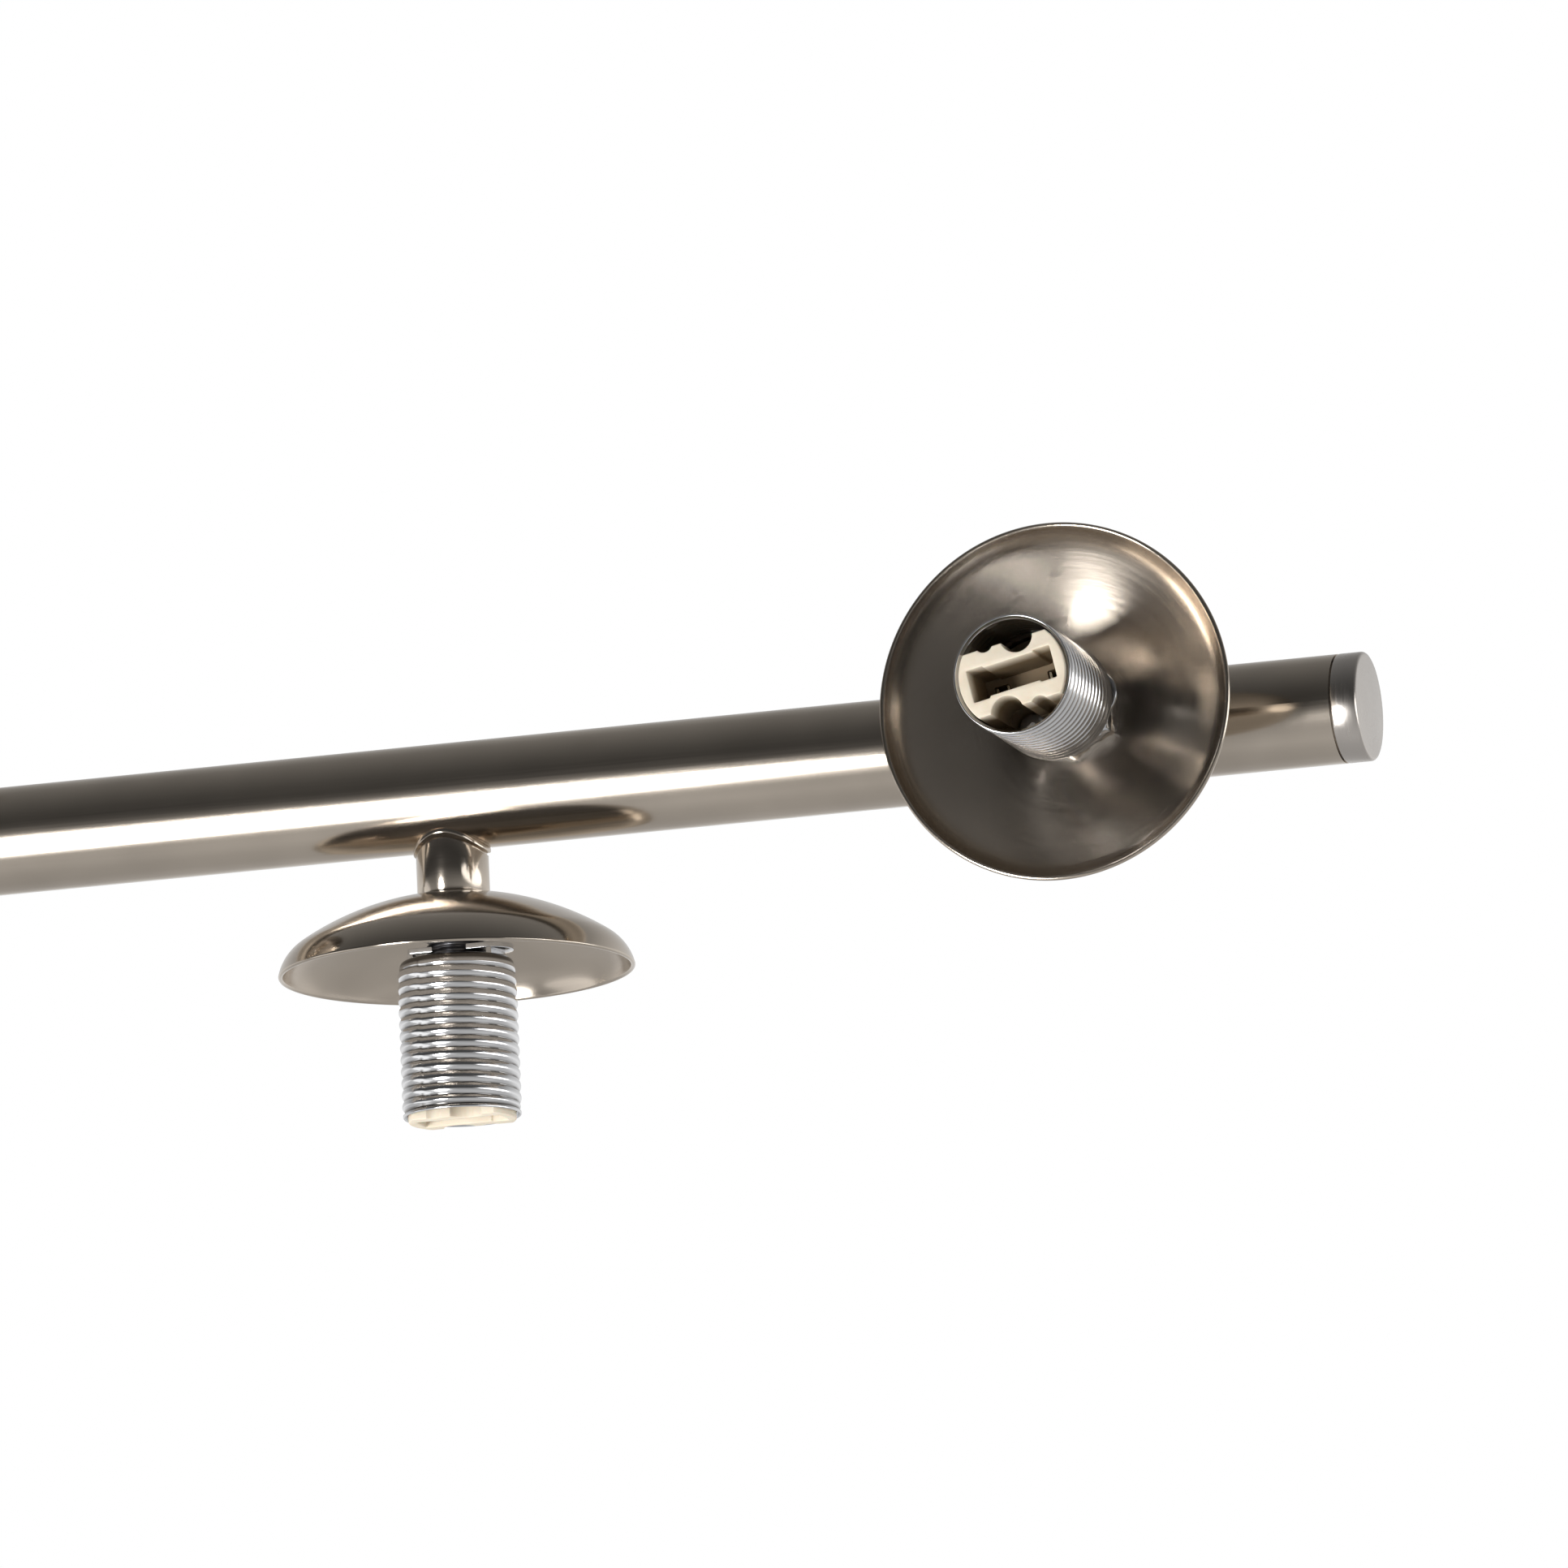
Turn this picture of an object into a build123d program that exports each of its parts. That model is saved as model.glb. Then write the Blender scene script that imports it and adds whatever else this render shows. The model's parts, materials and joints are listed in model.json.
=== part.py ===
from build123d import *
import os
from math import acos, atan2, cos, radians, sin, sqrt

# A ceiling light: a straight satin-nickel bar hangs from a round canopy on a short stem and carries
# four screw-collar lamp heads. The origin is the centre of the ceiling plane, +Z is up, the bar lies
# along X and -Y is the front. Each half of the bar is two tube sections that swivel about the bar's axis.

# ---- driving dimensions, mm ----
BAR_HALF = 320.0            # centre of the bar to the outer face of an end cap
BAR_R = 9.1                 # outside of the bar tube
BAR_BORE_R = 8.1
BAR_DROP = 72.0             # ceiling down to the bar's axis
END_CAP_LEN = 4.4           # the part of an end cap that shows
END_PLUG_LEN = 9.0          # the part of it inside the tube
CAP_SEAM = 0.25
HEAD_TO_END = 45.8          # outer head to the bar's end
HEAD_SPACING = 114.0        # inner head to outer head
SEAM_TO_HEAD = 24.2         # swivel seam to the outer head
HEAD_FORWARD = -90          # turn about X that points a head to the front
SLOT_TWIST = -12            # how far the outer sockets are turned on their posts

# swivel between an inner and an outer tube section
SEAM_COLLAR = 0.6           # collar of the swivel sleeve, flush with the tubes
SWIVEL_SLEEVE_HALF = 15.5
SWIVEL_SLEEVE_BORE_R = 6.5
GROOVE_R = 7.2              # floor of the stop groove
GROOVE_DEG = 100            # the groove runs this far to each side of the front
RETAINER_BACK = 8.0         # retaining screw to the seam
RETAINER_R = 1.5
RETAINER_TIP_R = 1.0
RUNNING = 0.05              # radial clearance of a swivel
AXIAL = 0.05                # end clearance of a swivel

# one head, as distances from the bar's axis along the head's own axis
POST_R = 6.1
POST_END = 17.3             # the post's shoulder, which clamps the dome
SEAT_R = 7.6                # flat at the dome's centre, between the post and the nut
TAIL_R = 5.0                # threaded tail of the post
TAIL_END = 28.5
WIRE_BORE_R = 3.2
DOME_R = 30.0
DOME_RIM = 30.0             # plane of the dome's rim
DOME_ARC_R = 48.0           # main curve of the dome
DOME_ARC_DEG = 33.5         # slope where the main curve ends
DOME_SHEET = 0.8
NUT_FLATS = 13.0
NUT_H = 3.0
PLATE_TOP = 25.9            # cross plate of the bracket
DISC_TOP = 33.0             # disc of the bracket, which closes the sleeve
DISC_BOTTOM = 34.2
STRAP_T = 1.0
STRAP_HALF = 4.0            # half of the strap's width
LEFT_LEG_X = -7.4           # left face of each leg of the strap
RIGHT_LEG_X = 6.4
STRAP_END_X = 6.0           # centre of the strap's round end
SLEEVE_R = 10.0
SLEEVE_BORE_R = 9.3
SLEEVE_LEN = 26.5
INNER_SLEEVE_END = 54.5
OUTER_SLEEVE_END = 55.1
THREAD_PITCH = 2.0
THREAD_DEPTH = 0.4
THREAD_LAND = 0.7           # flat on top of each crest
THREAD_FLANK = 0.35
CERAMIC_R = 9.05
CERAMIC_FLAT = 5.5          # half of the width across the two flats
CERAMIC_FACE = 55.3
FOOT_END = 38.0             # round foot of the ceramic, under the screw heads
SLOT_FLOOR = 44.0
SLOT_HALF_LEN = 7.25
SLOT_HALF_W = 2.45
SLOT_END_X = 4.5            # beyond this the slot is wider
SLOT_END_HALF_W = 2.75
CHANNEL_X, CHANNEL_Y, CHANNEL_R = 2.25, -5.95, 2.75
NOTCH_X, NOTCH_Y, NOTCH_R = -3.35, -6.4, 1.55
SCREW_R = 1.5
SCREW_HEAD_R = 2.5
SCREW_HEAD_H = 1.8
SCREW_TIP = 32.2
CONTACT_X = 4.65
CONTACT_HALF_W = 1.3
CONTACT_T = 0.4
CONTACT_TOP, CONTACT_END = 37.2, 43.6
CONTACT_HALF_GAP = 0.75
CONTACT_PLAY = 0.2          # room around a contact in its pocket

# canopy, stem and hub
CANOPY_R = 60.0
CANOPY_H = 26.0
CANOPY_SHEET = 1.0
CANOPY_CORNER = 6.0
CANOPY_HOLE_R = 7.0
STUD_X = 33.0
STUD_R = 2.0
STUD_END = 32.0
CAP_NUT_R = 5.0
CAP_NUT_H = 9.0
STRAP_LEN, STRAP_W, CROSSBAR_T = 110.0, 20.0, 2.0
JUNCTION_BOX_SPACING = 88.9
BOX_SLOT_LEN, BOX_SLOT_W = 12.0, 4.4
GROUND_X = 25.0
GROUND_HEAD_R = 3.6
NIPPLE_R = 5.0
NIPPLE_BORE_R = 3.5
NIPPLE_TOP = -17.0
BUSH_FLANGE_R = 9.0
BUSH_FLANGE_T = 1.0
BUSH_STANDS = 0.5           # how far the bush stands above the canopy's floor
SWIVEL_NUT_FLATS, SWIVEL_NUT_H = 17.0, 4.0
STEM_R = 8.0
HUB_R = 12.0
HUB_HALF = 20.0
HUB_BOSS = 15.0             # bar's axis up to the top of the hub's boss
HUB_BORE_R = 7.0
SOCKET_DEPTH = 14.0
HUB_SCREW_X = 13.0
HUB_SCREW_R = 2.0
HUB_TIP_R = 1.2
STOP_SLOT_HALF_W = 1.5
STOP_SLOT_SPARE_DEG = 9     # how far the stop slot runs past half a turn at each end

# two-core cables
CABLE_R = 1.4
CORE_R = 0.7
CABLE_Y = 1.45
CABLE_LOW = -2.2            # the inner head's cable, from the bar's axis
CABLE_HIGH = 3.2            # the outer head's cable
CORE_START = 28.7           # where a cable's two cores part inside the bracket
CABLE_ARCH = -7.4           # top of the cables inside the canopy
CABLE_GAP = 0.6             # between cable ends at a swivel
CONNECTOR_X = 17.05
CONNECTOR_FLOOR = -18.0

INNER_X = BAR_HALF - HEAD_TO_END - HEAD_SPACING
OUTER_X = BAR_HALF - HEAD_TO_END
SEAM_X = OUTER_X - SEAM_TO_HEAD
RETAINER_X = SEAM_X - RETAINER_BACK
TUBE_END_X = BAR_HALF - END_CAP_LEN - CAP_SEAM
TUBE_START_X = HUB_HALF - SOCKET_DEPTH + 0.3
PLATE_BOTTOM = PLATE_TOP + STRAP_T
CANOPY_FLOOR = CANOPY_SHEET - CANOPY_H
HUB_TOP = HUB_BOSS - BAR_DROP
STEM_TOP = -CANOPY_H - BUSH_FLANGE_T - AXIAL
PAST = 1.0                  # how far a cutting tool passes through a surface


def rod_z(radius, low, high, x=0, y=0):
    """Round bar along Z between two heights."""
    return Pos(x, y, low) * Cylinder(radius, high - low, align=(Align.CENTER, Align.CENTER, Align.MIN))


def rod_x(radius, low, high, y=0, z=0):
    """Round bar along X between two places."""
    along_x = Rot(0, 90, 0) * Cylinder(radius, high - low, align=(Align.CENTER, Align.CENTER, Align.MIN))
    return Pos(low, y, z) * along_x


def hexagon_z(across_flats, low, high):
    """Hexagonal bar along Z."""
    outline = RegularPolygon(across_flats / 2, 6, major_radius=False)
    return Pos(0, 0, low) * extrude(outline, high - low)


def block(x0, x1, y0, y1, z0, z1):
    """Rectangular block between two corners."""
    return Pos(x0, y0, z0) * Box(x1 - x0, y1 - y0, z1 - z0, align=Align.MIN)


def slab(x, half_x, half_y, z0, z1):
    """Rectangular block centred on y = 0 and on one place along X."""
    return block(x - half_x, x + half_x, -half_y, half_y, z0, z1)


def spun(points):
    """Solid of revolution about Z from a closed outline of (radius, height) points."""
    outline = make_face(Polyline([(r, 0, z) for r, z in points], close=True))
    return revolve(outline, Axis.Z)


def wire_run(points, radii, wire_r):
    """Round wire along straight runs joined by arcs."""
    path = FilletPolyline(*points, radius=radii)
    start = Plane(origin=path @ 0, z_dir=path % 0)
    return sweep(start * Circle(wire_r), path=path)


def ring_sector(r_in, r_out, x0, x1, deg0, deg1):
    """Part of a ring about X, from one angle to another, measured from +Y towards +Z."""
    outline = make_face(Polyline([(x0, r_in, 0), (x1, r_in, 0), (x1, r_out, 0), (x0, r_out, 0)], close=True))
    return Rot(deg0, 0, 0) * revolve(outline, Axis.X, revolution_arc=deg1 - deg0)


# ---- lamp head, pointing straight down from the bar's axis at the origin ----

def head_post():
    """Turned post with a saddle top that is brazed to the tube and a hollow threaded tail."""
    shank = rod_z(POST_R, -POST_END, 0)
    shank = chamfer(shank.edges().sort_by(Axis.Z)[0], 0.4)
    tail = rod_z(TAIL_R, -TAIL_END, -POST_END)
    post = shank + tail - rod_z(WIRE_BORE_R, -TAIL_END - PAST, PAST)
    return post - rod_x(BAR_R, -2 * POST_R, 2 * POST_R)


def dome_side(offset):
    """One side of the dome's sheet from the seat to the rim, as a list of edges and its two end points."""
    slope = radians(DOME_ARC_DEG)
    arc_r = DOME_ARC_R - offset
    centre_z = -(POST_END - (DOME_ARC_R - sqrt(DOME_ARC_R**2 - SEAT_R**2))) - DOME_ARC_R
    flat_z = -POST_END - offset
    flat_angle = acos((flat_z - centre_z) / arc_r)
    middle = (flat_angle + slope) / 2

    def on_arc(angle):
        return (arc_r * sin(angle), 0, centre_z + arc_r * cos(angle))

    # the edge roll is tangent to the main curve and ends on the rim plane at the dome's full radius
    joint_r, joint_z = DOME_ARC_R * sin(slope), centre_z + DOME_ARC_R * cos(slope)
    run, fall = DOME_R - joint_r, joint_z + DOME_RIM
    roll_r = (run**2 + fall**2) / (2 * (fall * cos(slope) - run * sin(slope)))
    roll_x, roll_z = joint_r - roll_r * sin(slope), joint_z - roll_r * cos(slope)
    end = atan2(DOME_R - roll_x, -DOME_RIM - roll_z)

    def on_roll(angle):
        return (roll_x + (roll_r - offset) * sin(angle), 0, roll_z + (roll_r - offset) * cos(angle))

    flat = Line((TAIL_R, 0, flat_z), on_arc(flat_angle))
    main = ThreePointArc(on_arc(flat_angle), on_arc(middle), on_arc(slope))
    roll = ThreePointArc(on_roll(slope), on_roll((slope + end) / 2), on_roll(end))
    return [flat, main, roll], (TAIL_R, 0, flat_z), on_roll(end)


def head_dome():
    """Spun sheet dome: a flat seat under the post, a shallow curve and a tighter roll down to the rim."""
    outside, outer_start, outer_end = dome_side(0)
    inside, inner_start, inner_end = dome_side(DOME_SHEET)
    edges = outside + inside + [Line(outer_end, inner_end), Line(outer_start, inner_start)]
    return revolve(make_face(Wire([e for part in edges for e in part.edges()])), Axis.Z)


def head_lock_nut():
    """Hexagon nut that clamps the dome against the post."""
    top = -POST_END - DOME_SHEET
    return hexagon_z(NUT_FLATS, top - NUT_H, top) - rod_z(TAIL_R, top - NUT_H - PAST, top + PAST)


def head_bracket():
    """Strap bracket: a tapped cross plate on the post's tail, two legs and a disc that closes the sleeve."""
    bracket = block(LEFT_LEG_X, STRAP_END_X, -STRAP_HALF, STRAP_HALF, -PLATE_BOTTOM, -PLATE_TOP)
    bracket += rod_z(STRAP_HALF, -PLATE_BOTTOM, -PLATE_TOP, STRAP_END_X)
    bracket += rod_z(SLEEVE_BORE_R, -DISC_BOTTOM, -DISC_TOP)
    for x in (LEFT_LEG_X, RIGHT_LEG_X):
        bracket += block(x, x + STRAP_T, -STRAP_HALF, STRAP_HALF, -DISC_TOP, -PLATE_BOTTOM)
    bracket -= rod_z(TAIL_R, -TAIL_END - PAST, -PLATE_TOP + PAST)
    for side in (-1, 1):
        bracket -= rod_z(SCREW_R, -DISC_BOTTOM - PAST, -DISC_TOP + PAST, side * CHANNEL_X, side * CHANNEL_Y)
        bracket -= rod_z(CORE_R + 0.3, -DISC_BOTTOM - PAST, -DISC_TOP + PAST, side * CONTACT_X)
    return bracket


def head_sleeve(end):
    """Screw collar for a shade ring: a thin tube with thread crests of the full radius."""
    start = end - SLEEVE_LEN
    root = SLEEVE_R - THREAD_DEPTH
    outline = [(SLEEVE_BORE_R, -start), (root, -start)]
    for turn in range(int(SLEEVE_LEN / THREAD_PITCH)):
        middle = -(start + THREAD_PITCH / 2 + turn * THREAD_PITCH)
        outline.append((root, middle + THREAD_LAND / 2 + THREAD_FLANK))
        outline.append((SLEEVE_R, middle + THREAD_LAND / 2))
        outline.append((SLEEVE_R, middle - THREAD_LAND / 2))
        outline.append((root, middle - THREAD_LAND / 2 - THREAD_FLANK))
    outline += [(root, -end), (SLEEVE_BORE_R, -end)]
    return spun(outline)


def head_ceramic():
    """Ceramic lamp holder: round foot, flat-sided body with screw channels, and a dumb-bell slot."""
    foot = rod_z(CERAMIC_R, -FOOT_END, -DISC_BOTTOM)
    body = rod_z(CERAMIC_R, -CERAMIC_FACE, -FOOT_END)
    body &= slab(0, CERAMIC_R + PAST, CERAMIC_FLAT, -CERAMIC_FACE, -FOOT_END)
    ceramic = foot + body
    mouth = -CERAMIC_FACE - PAST
    ceramic -= slab(0, SLOT_HALF_LEN, SLOT_HALF_W, mouth, -SLOT_FLOOR)
    slot_end_half = (SLOT_HALF_LEN - SLOT_END_X) / 2
    pocket_half = CONTACT_HALF_GAP + CONTACT_T + CONTACT_PLAY
    for side in (-1, 1):
        ceramic -= slab(side * (SLOT_END_X + slot_end_half), slot_end_half, SLOT_END_HALF_W, mouth, -SLOT_FLOOR)
        ceramic -= slab(side * CONTACT_X, pocket_half, CONTACT_HALF_W + CONTACT_PLAY, -SLOT_FLOOR,
                        -CONTACT_TOP + CONTACT_PLAY)
        ceramic -= rod_z(CORE_R + 0.2, -CONTACT_TOP, -DISC_BOTTOM + PAST, side * CONTACT_X)
        ceramic -= rod_z(CHANNEL_R, mouth, -FOOT_END, side * CHANNEL_X, side * CHANNEL_Y)
        ceramic -= rod_z(SCREW_R + 0.1, -FOOT_END - PAST, -DISC_BOTTOM + PAST, side * CHANNEL_X, side * CHANNEL_Y)
        ceramic -= rod_z(NOTCH_R, mouth, -FOOT_END, side * NOTCH_X, side * NOTCH_Y)
    return ceramic


def head_contacts():
    """Two folded spring contacts, one at each end of the lamp slot, open towards the lamp's pins."""
    contacts = []
    for side in (-1, 1):
        spring = slab(side * CONTACT_X, CONTACT_HALF_GAP + CONTACT_T, CONTACT_HALF_W, -CONTACT_END, -CONTACT_TOP)
        contacts.append(spring - slab(side * CONTACT_X, CONTACT_HALF_GAP, CONTACT_HALF_W + PAST,
                                      -CONTACT_END - PAST, -CONTACT_TOP - CONTACT_T))
    return Compound(contacts)


def head_screws():
    """Two socket-head screws that hold the ceramic on the bracket's disc."""
    screws = []
    for side in (-1, 1):
        x, y = side * CHANNEL_X, side * CHANNEL_Y
        head_end = -FOOT_END - SCREW_HEAD_H
        screw = rod_z(SCREW_HEAD_R, head_end, -FOOT_END, x, y) + rod_z(SCREW_R, -FOOT_END, -SCREW_TIP, x, y)
        screws.append(screw - rod_z(SCREW_HEAD_R / 2.5, head_end - PAST, head_end + SCREW_HEAD_H / 2, x, y))
    return Compound(screws)


def head_cores():
    """The two wires that leave the cable inside the bracket and reach the contacts."""
    cores = []
    for side in (-1, 1):
        near_x = side * (CORE_R + 0.05)
        route = [(near_x, 0, -CORE_START), (near_x, 0, -CORE_START - 0.9), (side * CONTACT_X, 0, -SCREW_TIP),
                 (side * CONTACT_X, 0, -CONTACT_TOP)]
        cores.append(wire_run(route, [CORE_R, CORE_R], CORE_R))
    return cores


# ---- tube sections, with the bar's axis as X and x measured from the bar's centre ----

def inner_tube():
    """Tube section from the hub to the seam, with the stop slot, wire hole and retaining screw hole."""
    tube = rod_x(BAR_R, TUBE_START_X, SEAM_X - SEAM_COLLAR / 2 - AXIAL)
    tube -= rod_x(BAR_BORE_R, TUBE_START_X - PAST, SEAM_X)
    tube -= ring_sector(BAR_BORE_R - PAST, BAR_R + PAST, HUB_SCREW_X - STOP_SLOT_HALF_W,
                        HUB_SCREW_X + STOP_SLOT_HALF_W, -STOP_SLOT_SPARE_DEG, 180 + STOP_SLOT_SPARE_DEG)
    tube -= rod_z(WIRE_BORE_R, -BAR_R - PAST, 0, INNER_X)
    return tube - rod_z(RETAINER_R, 0, BAR_R + PAST, RETAINER_X)


def outer_tube():
    """Tube section from the seam to the end cap, with the wire hole of the outer head."""
    tube = rod_x(BAR_R, SEAM_X + SEAM_COLLAR / 2, TUBE_END_X) - rod_x(BAR_BORE_R, SEAM_X, BAR_HALF)
    return tube - rod_z(WIRE_BORE_R, -BAR_R - PAST, 0, OUTER_X)


def swivel_sleeve():
    """Turned sleeve fixed in the outer section and running in the inner one, with a stop groove."""
    sleeve = rod_x(BAR_BORE_R, SEAM_X, SEAM_X + SWIVEL_SLEEVE_HALF)
    sleeve += rod_x(BAR_BORE_R - RUNNING, SEAM_X - SWIVEL_SLEEVE_HALF, SEAM_X)
    sleeve += rod_x(BAR_R, SEAM_X - SEAM_COLLAR / 2, SEAM_X + SEAM_COLLAR / 2)
    sleeve -= rod_x(SWIVEL_SLEEVE_BORE_R, SEAM_X - 2 * SWIVEL_SLEEVE_HALF, SEAM_X + 2 * SWIVEL_SLEEVE_HALF)
    half_w = RETAINER_TIP_R + 0.4
    return sleeve - ring_sector(GROOVE_R, BAR_R, RETAINER_X - half_w, RETAINER_X + half_w, -GROOVE_DEG, GROOVE_DEG)


def retaining_screw():
    """Grub screw in the inner section, with its tip in the swivel sleeve's groove."""
    tip = rod_z(RETAINER_TIP_R, GROOVE_R + 0.3, BAR_BORE_R, RETAINER_X)
    return tip + rod_z(RETAINER_R, BAR_BORE_R, BAR_R - 0.2, RETAINER_X)


def end_cap():
    """Turned plug with a bevelled face and a fine recess where it meets the tube."""
    shoulder_x = BAR_HALF - END_CAP_LEN
    cap = chamfer(rod_x(BAR_R, shoulder_x, BAR_HALF).edges().group_by(Axis.X)[-1], 0.3)
    return cap + rod_x(BAR_BORE_R, shoulder_x - END_PLUG_LEN, shoulder_x) + rod_x(BAR_R - 0.3, TUBE_END_X, shoulder_x)


def inner_cables():
    """Cable of the inner head, and the outer head's cable on its way to the seam."""
    route = [(TUBE_START_X, CABLE_Y, CABLE_LOW), (INNER_X, CABLE_Y, CABLE_LOW), (INNER_X, CABLE_Y, -CORE_START)]
    through = rod_x(CABLE_R, TUBE_START_X, SEAM_X - CABLE_GAP / 2, -CABLE_Y, CABLE_HIGH)
    return [wire_run(route, [5], CABLE_R), through]


def outer_cable():
    """Cable from the seam to the outer head, in the frame of a head that points down."""
    y, z = -CABLE_HIGH, -CABLE_Y
    route = [(SEAM_X + CABLE_GAP / 2, y, z), (OUTER_X - 16, y, z), (OUTER_X - 8, 0, z), (OUTER_X, 0, z),
             (OUTER_X, 0, -CORE_START)]
    return wire_run(route, [8, 8, 2.4], CABLE_R)


# ---- stem and hub, with the ceiling plane at z = 0 ----

def hub():
    """Turned hub with a socket for each half of the bar and a threaded boss for the stem."""
    body = chamfer(rod_x(HUB_R, -HUB_HALF, HUB_HALF).edges().filter_by(GeomType.CIRCLE), 1.0)
    body = Pos(0, 0, -BAR_DROP) * body + rod_z(STEM_R, -BAR_DROP, HUB_TOP)
    for side in (-1, 1):
        ends = sorted((side * (HUB_HALF - SOCKET_DEPTH), side * (HUB_HALF + PAST)))
        body -= rod_x(BAR_R + RUNNING, ends[0], ends[1], z=-BAR_DROP)
        body -= rod_z(HUB_SCREW_R, -BAR_DROP, -BAR_DROP + HUB_R + PAST, side * HUB_SCREW_X)
    body -= rod_x(HUB_BORE_R, -HUB_HALF, HUB_HALF, z=-BAR_DROP)
    return body - rod_z(NIPPLE_R, -BAR_DROP, HUB_TOP + PAST)


def hub_screws():
    """Two grub screws whose tips ride in the stop slots of the inner tube sections."""
    screws = []
    for side in (-1, 1):
        x = side * HUB_SCREW_X
        shoulder_z = -BAR_DROP + BAR_R + 0.3
        screw = rod_z(HUB_SCREW_R, shoulder_z, -BAR_DROP + HUB_R - 0.3, x)
        screws.append(screw + rod_z(HUB_TIP_R, -BAR_DROP + BAR_BORE_R + 0.2, shoulder_z, x))
    return Compound(screws)


def stem_tube():
    """Spacer tube between the hub and the canopy."""
    return rod_z(STEM_R, HUB_TOP, STEM_TOP) - rod_z(NIPPLE_R + 0.2, HUB_TOP - PAST, STEM_TOP + PAST)


def threaded_nipple():
    """Hollow threaded pipe through the stem, which carries the weight and the cables."""
    return rod_z(NIPPLE_R, HUB_TOP - HUB_BOSS / 2, NIPPLE_TOP) - rod_z(NIPPLE_BORE_R, -BAR_DROP, 0)


def swivel_nut():
    """Flanged nut inside the canopy that sets the friction of the stem."""
    low = CANOPY_FLOOR + BUSH_STANDS + AXIAL
    nut = hexagon_z(SWIVEL_NUT_FLATS, low, low + SWIVEL_NUT_H)
    return nut - rod_z(NIPPLE_R, low - PAST, low + SWIVEL_NUT_H + PAST)


def stem_cables():
    """Four two-core cables: out of the connectors, down the nipple and out to both sides of the hub."""
    cables = []
    for side in (-1, 1):
        for y, height in ((CABLE_Y, CABLE_LOW), (-CABLE_Y, CABLE_HIGH)):
            z = -BAR_DROP + height
            route = [(side * CONNECTOR_X, y, CONNECTOR_FLOOR), (side * CONNECTOR_X, y, CABLE_ARCH),
                     (side * CABLE_Y, y, CABLE_ARCH), (side * CABLE_Y, y, z),
                     (side * (TUBE_START_X - CABLE_GAP), y, z)]
            arch_r = (CONNECTOR_X - CABLE_Y) * 0.48
            cables.append(wire_run(route, [arch_r, arch_r, 4], CABLE_R))
    return Compound(cables)


def wire_connectors():
    """Two closed-end splice connectors that hang on the cables inside the canopy."""
    floor, mouth = CONNECTOR_FLOOR - 0.6, CONNECTOR_FLOOR + 4.5
    outline = [(0, floor - 5.6), (3.4, floor - 5.6), (4.6, mouth), (3.1, mouth), (3.1, floor), (0, floor)]
    return Compound([Pos(side * CONNECTOR_X, 0, 0) * spun(outline) for side in (-1, 1)])


# ---- parts fixed to the ceiling ----

def canopy():
    """Drawn sheet cup, open towards the ceiling, with a rounded lower edge."""
    cup = rod_z(CANOPY_R, -CANOPY_H, 0)
    cup = fillet(cup.edges().sort_by(Axis.Z)[0], CANOPY_CORNER)
    inside = rod_z(CANOPY_R - CANOPY_SHEET, CANOPY_FLOOR, 0)
    cup -= fillet(inside.edges().sort_by(Axis.Z)[0], CANOPY_CORNER - CANOPY_SHEET)
    for side in (-1, 1):
        cup -= rod_z(STUD_R + 0.3, -CANOPY_H - PAST, 0, side * STUD_X)
    return cup - rod_z(CANOPY_HOLE_R, -CANOPY_H - PAST, 0)


def crossbar():
    """Strap that screws to a ceiling box through two slots and holds the canopy's studs."""
    strap = extrude(Pos(0, 0, -CROSSBAR_T) * SlotOverall(STRAP_LEN, STRAP_W), CROSSBAR_T)
    slot = extrude(Pos(0, 0, -CROSSBAR_T - PAST) * SlotOverall(BOX_SLOT_LEN, BOX_SLOT_W), CROSSBAR_T + 2 * PAST)
    for side in (-1, 1):
        strap -= Pos(side * JUNCTION_BOX_SPACING / 2, 0, 0) * slot
        strap -= rod_z(STUD_R, -CROSSBAR_T - PAST, PAST, side * STUD_X)
    for radius, x in ((6.5, 0), (STUD_R, GROUND_X)):
        strap -= rod_z(radius, -CROSSBAR_T - PAST, PAST, x)
    return strap


def canopy_studs():
    """Two threaded studs that hang from the crossbar through the canopy."""
    return Compound([rod_z(STUD_R, -STUD_END, -0.2, side * STUD_X) for side in (-1, 1)])


def cap_nuts():
    """Two round cap nuts that pull the canopy up to the ceiling."""
    nuts = []
    for side in (-1, 1):
        nut = rod_z(CAP_NUT_R, -CANOPY_H - CAP_NUT_H, -CANOPY_H)
        nut = fillet(nut.edges().sort_by(Axis.Z)[0], 3.5)
        nuts.append(Pos(side * STUD_X, 0, 0) * (nut - rod_z(STUD_R, -STUD_END - PAST, -CANOPY_H + PAST)))
    return Compound(nuts)


def ground_screw():
    """Earth screw in the crossbar."""
    head = rod_z(GROUND_HEAD_R, -CROSSBAR_T - 2.6, -CROSSBAR_T, GROUND_X)
    return head + rod_z(STUD_R, -CROSSBAR_T, -0.2, GROUND_X)


def swivel_bush():
    """Nylon bush in the canopy's centre hole, with a flange that the stem turns against."""
    bush = rod_z(BUSH_FLANGE_R, -CANOPY_H - BUSH_FLANGE_T, -CANOPY_H)
    bush += rod_z(CANOPY_HOLE_R - 0.05, -CANOPY_H, CANOPY_FLOOR + BUSH_STANDS)
    return bush - rod_z(NIPPLE_R + RUNNING, -CANOPY_H - 2 * PAST, 0)


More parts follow.
